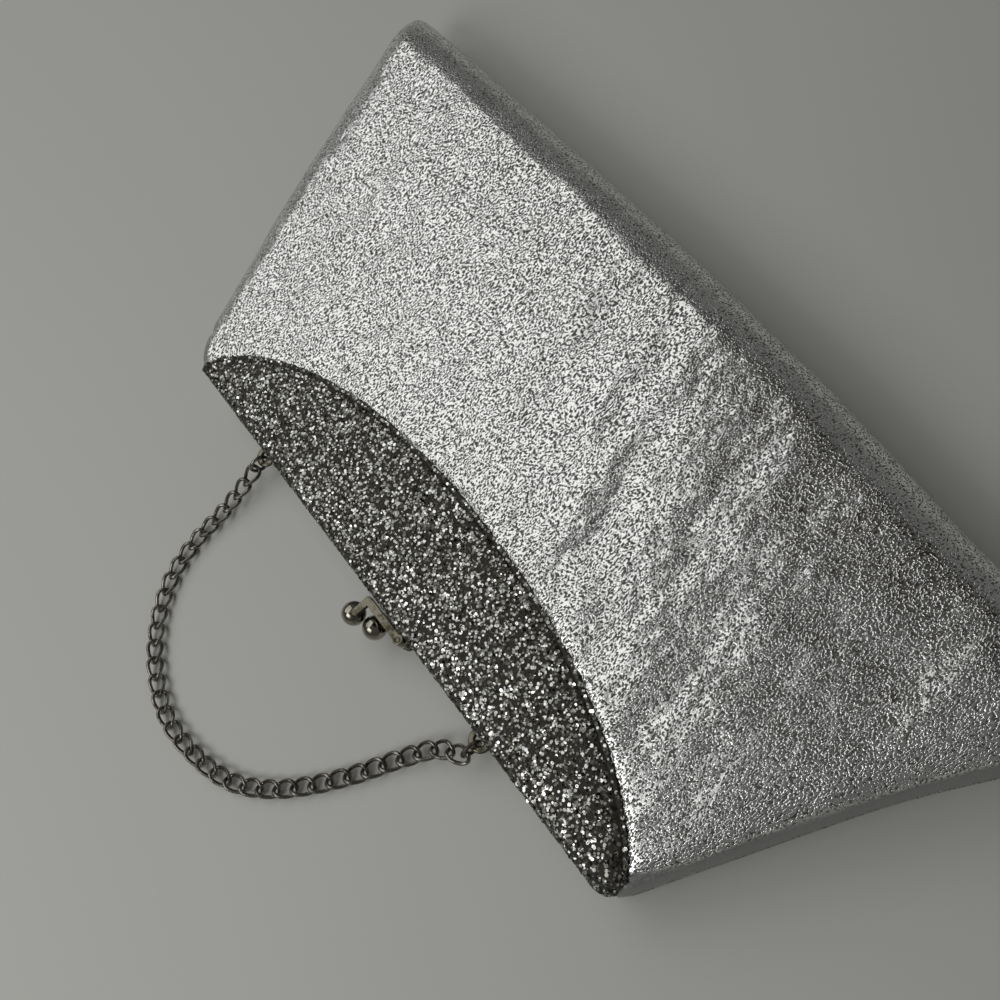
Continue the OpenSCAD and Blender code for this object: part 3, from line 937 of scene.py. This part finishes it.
def scatterFlakes(name, base, count, seed, keep):
    # lays copies of one six-sided flake over the outer face of a piece, at seeded places
    draw = np.random.default_rng(seed)
    shape, faces = makeFlakeShape()
    co = readPoints(base) / mm
    base.data.calc_loop_triangles()
    corners = np.array([t.vertices[:] for t in base.data.loop_triangles])
    a, b, c = co[corners[:, 0]], co[corners[:, 1]], co[corners[:, 2]]
    normal = np.cross(b - a, c - a)
    area = np.linalg.norm(normal, axis=1)
    normal = normal / np.maximum(area, 1e-9)[:, None]
    allowed = keep((a + b + c) / 3) & (area > 1e-6)
    chance = np.where(allowed, area, 0)
    pick = draw.choice(len(corners), count, p=chance / chance.sum())
    u, v = draw.random(count), draw.random(count)
    flip = u + v > 1
    u, v = np.where(flip, 1 - u, u), np.where(flip, 1 - v, v)
    place = a[pick] + (b - a)[pick] * u[:, None] + (c - a)[pick] * v[:, None]
    up = normal[pick] + np.tan(np.radians(flakeSetup["tilt"])) * draw.normal(0, 0.55, (count, 3))
    up /= np.linalg.norm(up, axis=1)[:, None]
    side = np.cross(up, draw.normal(0, 1, (count, 3)))
    side /= np.linalg.norm(side, axis=1)[:, None]
    front = np.cross(up, side)
    size = flakeSetup["size"] * (
        1 + flakeSetup["spread"] * draw.normal(0, 1, count).clip(-1.6, 1.6)
    )
    lift = flakeSetup["lift"] * (0.4 + draw.random(count) * 1.2)
    place = place + normal[pick] * lift[:, None]
    flat = (
        side[:, None] * shape[None, :, 0, None] + front[:, None] * shape[None, :, 1, None]
    ) * size[:, None, None]
    points = place[:, None] + flat + up[:, None] * (shape[None, :, 2, None] * flakeSetup["deep"])
    total = len(shape)
    allFaces = [tuple(i + k * total for i in f) for k in range(count) for f in faces]
    mesh = bpy.data.meshes.new(name)
    mesh.from_pydata((points.reshape(-1, 3) * mm).tolist(), [], allFaces)
    piece = bpy.data.objects.new(name, mesh)
    bpy.context.scene.collection.objects.link(piece)
    setValue(piece, "flakeTone", np.repeat(draw.random(count), total))
    return piece


def finishCrescent(base, flakes, body, node):
    thicken(base, crescentSetup["thick"])
    smooth(base)
    dress(base, glitterBacking)
    dress(flakes, flakeFoil)
    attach(base, body)
    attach(flakes, body)
    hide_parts(node)


frontNotches = [(clawX[0][0] - 0.7, clawX[1][0] + 0.7, 12.2)]
backNotches = [(backClawX[0][0] - 0.7, backClawX[1][0] + 0.7, 5.2)]
backNotches += [(low[0] - 0.4, high[0] + 0.4, 5.5) for low, high in lugBoxes]


def offSeam(points):
    inward = arcDistance(points[:, 0], points[:, 1])[0]
    start, end = flakeSetup["seamBand"]
    return (inward < start) | (inward > end)


def keepFront(points):
    return (points[:, 2] > bag["hingeZ"] + flakeSetup["partGap"]) & offSeam(points)


def keepBack(points):
    return (points[:, 2] < bag["hingeZ"] - flakeSetup["partGap"]) & offSeam(points)


frontBase = makeCrescent("frontCrescent", True, frontNotches, crescentSetup)
frontFlakes = scatterFlakes("frontFlakes", frontBase, flakeSetup["frontCount"], 11, keepFront)
finishCrescent(frontBase, frontFlakes, "front_frame", "front_glitter")
backBase = makeCrescent("backCrescent", False, backNotches, crescentSetup)
backFlakes = scatterFlakes("backFlakes", backBase, flakeSetup["backCount"], 23, keepBack)
finishCrescent(backBase, backFlakes, "root", "back_glitter")
print("stage: glitter crescents made")

# linings, wadding and the slip pocket

liningSetup = {
    "columns": 60,
    "rows": 110,
    "depth": 3.7,
    "thick": 0.4,
    "inset": 4.0,
    "frameInset": 9.2,
    "endGap": 8.5,
}


def makeLining(setup):
    piece = addGrid("satinLining", setup["columns"], setup["rows"])
    given = readPoints(piece)
    share = (given[:, 1] + 1) / 2
    total = 2 * (bag["mouthY"] - rollY) + math.pi * rollR
    start = setup["endGap"] / total
    y, z, onFront, onBack = wrapPath(start + share * (1 - 2 * start), setup["depth"])
    inset = setup["inset"] + (setup["frameInset"] - setup["inset"]) * ramp(y, 10, 19)
    x = given[:, 0] * (halfWidth(y, given[:, 0]) - inset)
    points = bodyMap(x, y, z, dented=False)
    gather = 0.25 * np.sin(x * 0.35 + np.sin(y * 0.11) * 2) + 0.2 * np.sin(x * 0.13 - y * 0.22)
    sign = np.where(onFront, -1, np.where(onBack, 1, 0))
    points[:, 2] += sign * (0.45 + gather)
    setPoints(piece, points)
    thicken(piece, setup["thick"])
    smooth(piece)
    dress(piece, satin)
    bend(piece)
    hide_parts("lining_pouch", "front_lining_upper", "front_lining_fold")
    return piece


waddingSetup = {"columns": 60, "rows": 70, "depth": 1.1, "thick": 1.2, "inset": 6.0}


def makeWadding(name, start, end, body, node, setup):
    piece = addGrid(name, setup["columns"], setup["rows"])
    given = readPoints(piece)
    share = start + (given[:, 1] + 1) / 2 * (end - start)
    y, z, onFront, onBack = wrapPath(share, setup["depth"])
    x = given[:, 0] * (halfWidth(y, given[:, 0]) - setup["inset"])
    points = bodyMap(x, y, z)
    inside = (y > arcLine(x) - 1) & (np.abs(x) < bag["mouthHalf"])
    points[:, 2] -= np.where(onFront & inside, 0.5, 0) - np.where(onBack & inside, 0.5, 0)
    setPoints(piece, points)
    thicken(piece, setup["thick"])
    smooth(piece)
    dress(piece, wadding)
    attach(piece, body)
    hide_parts(node)


pocketSetup = {"columns": 40, "rows": 26, "hem": 4.0, "thick": 0.35}


def makePocket(setup):
    low, high = nodeBox("slip_pocket")
    piece = addGrid("slipPocket", setup["columns"], setup["rows"])
    given = readPoints(piece)
    x = low[0] + (given[:, 0] + 1) / 2 * (high[0] - low[0])
    share = (given[:, 1] + 1) / 2
    y = low[1] + share * (high[1] - low[1])
    sagging = np.sin((given[:, 0] + 1) / 2 * math.pi)
    hem = ramp(share, 0.92, 0.94) * 0.25
    z = low[2] + 0.55 + sagging * share**1.5 * 1.6 + hem + 0.1 * np.sin(x * 0.4 + y * 0.1)
    setPoints(piece, np.stack([x, y, z], 1))
    thicken(piece, setup["thick"])
    smooth(piece)
    dress(piece, satin)
    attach(piece, "root")
    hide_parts("slip_pocket")
    return piece


def frontShare(y):
    backRun = bag["mouthY"] - rollY
    frontRun = math.hypot(backRun, bag["bottomThick"] - bag["mouthThick"])
    total = backRun + math.pi * rollR + frontRun
    return (backRun + math.pi * rollR + (y - rollY) / backRun * frontRun) / total


lining = makeLining(liningSetup)
pocket = makePocket(pocketSetup)
makeWadding("pouchWadding", 0.012, frontShare(11), "root", "pouch_padding", waddingSetup)
makeWadding(
    "frontWadding", frontShare(28), frontShare(61), "front_frame", "front_padding_upper",
    waddingSetup,
)


# the lining's area here is the finished mesh's own, not the cut's, so it tests nothing
print("stage: lining, pocket and wadding made")

# metal fittings

fittings = {
    "front_clasp_arm": (0.32, antiqueNickel, "antique_nickel", "front_catch"),
    "back_clasp_arm": (0.32, antiqueNickel, "antique_nickel", "back_catch"),
    "front_clasp_foot": (0.2, antiqueNickel, "antique_nickel", "front_frame"),
    "back_clasp_foot": (0.2, antiqueNickel, "antique_nickel", "root"),
}


def refineNode(node, bevel, material, body):
    source = frame["nodes"][node]
    piece = source.copy()
    piece.data = source.data.copy()
    piece.parent = None
    piece.matrix_world = Matrix.Identity(4)
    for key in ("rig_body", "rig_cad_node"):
        if key in piece:
            del piece[key]
    words = node.split("_")
    piece.name = piece.data.name = words[0] + "".join(w.title() for w in words[1:])
    bpy.context.scene.collection.objects.link(piece)
    bpy.ops.object.select_all(action="DESELECT")
    bpy.context.view_layer.objects.active = piece
    piece.select_set(True)
    bpy.ops.object.mode_set(mode="EDIT")
    bpy.ops.mesh.select_all(action="SELECT")
    bpy.ops.mesh.remove_doubles(threshold=0.000005)
    bpy.ops.mesh.dissolve_limited(angle_limit=math.radians(2))
    bpy.ops.mesh.normals_make_consistent(inside=False)
    bpy.ops.object.mode_set(mode="OBJECT")
    if bevel:
        applyModifier(
            piece, "BEVEL", width=bevel * mm, segments=3, limit_method="ANGLE",
            angle_limit=math.radians(40),
        )
    smooth(piece, 35)
    dress(piece, material)
    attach(piece, body)
    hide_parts(node)


for node, (bevel, material, slot, body) in fittings.items():
    refineNode(node, bevel, material, body)

ballSetup = {"segments": 48, "rings": 32, "seam": 0.012}


def makeBall(name, node, body, setup):
    low, high = nodeBox(node)
    centre, radius = (low + high) / 2, (high - low).max() / 2
    centre[2] = low[2] + radius if name.startswith("front") else high[2] - radius
    bpy.ops.object.select_all(action="DESELECT")
    bpy.ops.mesh.primitive_uv_sphere_add(
        segments=setup["segments"], ring_count=setup["rings"], radius=1,
    )
    piece = bpy.context.object
    piece.name = piece.data.name = name
    points = readPoints(piece)
    belt = np.abs(points[:, 2]) < 0.02
    points[belt] *= 1 - setup["seam"]
    points = points[:, [0, 2, 1]] * radius
    points[:, 0] *= -1
    setPoints(piece, points + centre)
    smooth(piece)
    dress(piece, polishedNickel)
    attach(piece, body)
    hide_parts(node)


makeBall("frontClaspBall", "front_clasp_ball", "front_catch", ballSetup)
makeBall("backClaspBall", "back_clasp_ball", "back_catch", ballSetup)

plainNodes = {
    "chain_lug_left": antiqueNickel,
    "chain_lug_right": antiqueNickel,
    "jump_rings": chainNickel,
    "lug_rivets": antiqueNickel,
    "front_frame": frameSteel,
    "back_frame": frameSteel,
    "hinge_pin_left": antiqueNickel,
    "hinge_pin_right": antiqueNickel,
    "back_plate": plateSteel,
    "front_plate": plateSteel,
    "back_board": greyBoard,
    "front_board": greyBoard,
}
for node, material in plainNodes.items():
    target = frame["nodes"][node]
    target.data.materials.clear()
    target.data.materials.append(material)
print("stage: fittings made")

# chain of curb links

chainRoute = (
    (60, 71.9, 6.1), (59.6, 77, 4.8), (59.2, 83, 3.4), (58.8, 90, 2.3), (57.9, 101, 1.8), (53.8, 113, 1.8),
    (45, 124, 1.8), (32, 132.5, 1.8), (17, 136.5, 1.8), (2, 134.8, 1.8), (-11, 130, 1.8), (-20.5, 122, 1.8),
    (-28, 111.5, 1.8), (-34.5, 99, 1.8), (-39.8, 86.5, 2.2), (-45, 77, 3.9), (-52, 71.9, 6.1),
)
chainSetup = {
    "links": 36,
    "halfLong": 3.45,
    "halfWide": 2.2,
    "wireR": 0.55,
    "power": 2 / 2.6,
    "twist": 40.0,
    "around": 28,
    "sides": 8,
    "steps": 10,
}


def walkRoute(points, steps):
    # smooth curve through the route's points, and the length walked along it
    p = [np.array(q, float) for q in points]
    walk = []
    for i in range(len(p) - 1):
        a, b, c, d = p[max(i - 1, 0)], p[i], p[i + 1], p[min(i + 2, len(p) - 1)]
        for k in range(steps):
            t = k / steps
            walk.append(
                0.5 * (
                    2 * b + (c - a) * t + (2 * a - 5 * b + 4 * c - d) * t**2 + (3 * b - a - 3 * c + d) * t**3
                )
            )
    walk = np.array([*walk, p[-1]])
    length = np.concatenate([[0], np.cumsum(np.linalg.norm(np.diff(walk, axis=0), axis=1))])
    return walk, length


def linkLine(turn, setup):
    c, s = np.cos(turn), np.sin(turn)
    x = setup["halfLong"] * np.sign(c) * np.abs(c) ** setup["power"]
    y = setup["halfWide"] * np.sign(s) * np.abs(s) ** setup["power"]
    twist = np.radians(setup["twist"]) * x / setup["halfLong"]
    return np.stack([x, y * np.cos(twist), y * np.sin(twist)], -1)


def makeLink(setup):
    bpy.ops.object.select_all(action="DESELECT")
    bpy.ops.mesh.primitive_torus_add(
        major_segments=setup["around"], minor_segments=setup["sides"], major_radius=1,
        minor_radius=0.25,
    )
    link = bpy.context.object
    given = readPoints(link)
    turn = np.arctan2(given[:, 1], given[:, 0])
    turn = np.where(np.abs(np.sin(turn)) < 1e-4, turn + 0.02, turn)
    ringX = np.hypot(given[:, 0], given[:, 1]) - 1
    spin = np.arctan2(given[:, 2], ringX)
    here = linkLine(turn, setup)
    way = linkLine(turn + 0.07, setup) - linkLine(turn - 0.07, setup)
    way /= np.linalg.norm(way, axis=1)[:, None]
    out = np.cross(way, [0, 0, 1.0])
    out /= np.linalg.norm(out, axis=1)[:, None]
    up = np.cross(out, way)
    setPoints(
        link, here + setup["wireR"] * (np.cos(spin)[:, None] * out + np.sin(spin)[:, None] * up),
    )
    return link


def makeChain(setup):
    walk, length = walkRoute(chainRoute, setup["steps"])
    first = setup["halfLong"] - 2.6 * setup["wireR"]
    step = (length[-1] - 2 * first) / (setup["links"] - 1)
    at = lambda s: np.array([np.interp(s, length, walk[:, k]) for k in range(3)])
    link = makeLink(setup)
    copies = []
    for index in range(setup["links"]):
        s = first + index * step
        way = at(min(s + 1, length[-1])) - at(max(s - 1, 0))
        heading = math.atan2(way[1], way[0])
        dip = -math.atan2(way[2], math.hypot(way[0], way[1]))
        turn = Matrix.Rotation(heading, 4, "Z") @ Matrix.Rotation(dip, 4, "Y")
        copy = link.copy()
        copy.data = link.data.copy()
        copy.data.transform(Matrix.Translation(Vector(at(s) * mm)) @ turn)
        bpy.context.scene.collection.objects.link(copy)
        copies.append(copy)
    bpy.data.objects.remove(link)
    bpy.ops.object.select_all(action="DESELECT")
    for copy in copies:
        copy.select_set(True)
    chain = copies[0]
    bpy.context.view_layer.objects.active = chain
    bpy.ops.object.join()
    chain.name = chain.data.name = "chainLinks"
    smooth(chain)
    dress(chain, chainNickel)
    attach(chain, "chain")
    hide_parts("chain_links")


makeChain(chainSetup)
print("stage: chain made")

# floor and light

stageSetup = {
    "floorSize": 6.0,
    "floorColor": (0.69, 0.693, 0.65, 1),
    "worldColor": (0.5, 0.51, 0.5, 1),
    "worldStrength": 0.2,
    "cardColor": (0.05, 0.034, 0.022, 1),
}


def plainMaterial(name, color, rough):
    material, _, shader = makeMaterial(name)
    shader.inputs["Base Color"].default_value = color
    shader.inputs["Roughness"].default_value = rough
    return material


def addFloor(setup):
    bpy.ops.object.select_all(action="DESELECT")
    bpy.ops.mesh.primitive_plane_add(size=setup["floorSize"])
    floor = bpy.context.object
    floor.name = "studioFloor"
    floor.data.materials.append(plainMaterial("floorPaint", setup["floorColor"], 0.7))


def addCard(name, place, aim, size, color):
    bpy.ops.object.select_all(action="DESELECT")
    bpy.ops.mesh.primitive_plane_add(size=size, location=place)
    card = bpy.context.object
    card.name = name
    away = Vector(aim) - Vector(place)
    card.rotation_euler = away.to_track_quat("Z", "Y").to_euler()
    card.data.materials.append(plainMaterial(name + "Paint", color, 0.9))
    card.visible_camera = False


def addLight(name, place, aim, size, power):
    bpy.ops.object.light_add(type="AREA", location=place)
    lamp = bpy.context.object
    lamp.name = name
    lamp.data.shape = "RECTANGLE"
    lamp.data.size = size[0]
    lamp.data.size_y = size[1]
    lamp.data.energy = power
    away = Vector(place) - Vector(aim)
    lamp.rotation_euler = away.to_track_quat("Z", "Y").to_euler()


addFloor(stageSetup)
world = bpy.data.worlds.new("studioWorld")
bpy.context.scene.world = world
world.use_nodes = True
world.node_tree.nodes["Background"].inputs["Color"].default_value = stageSetup["worldColor"]
world.node_tree.nodes["Background"].inputs["Strength"].default_value = stageSetup["worldStrength"]
addLight("ceilingPanel", (0.85, 0.25, 1.1), (0, 0, 0), (1.5, 1.3), 5.3)
addLight("sidePanel", (-0.05, 0.55, 0.55), (0, 0.12, 0), (0.45, 0.35), 1.25)
addCard("darkCard", (-0.03, -0.2, 0.5), (-0.09, -0.04, 0), 0.46, stageSetup["cardColor"])
print("stage: floor and light made")
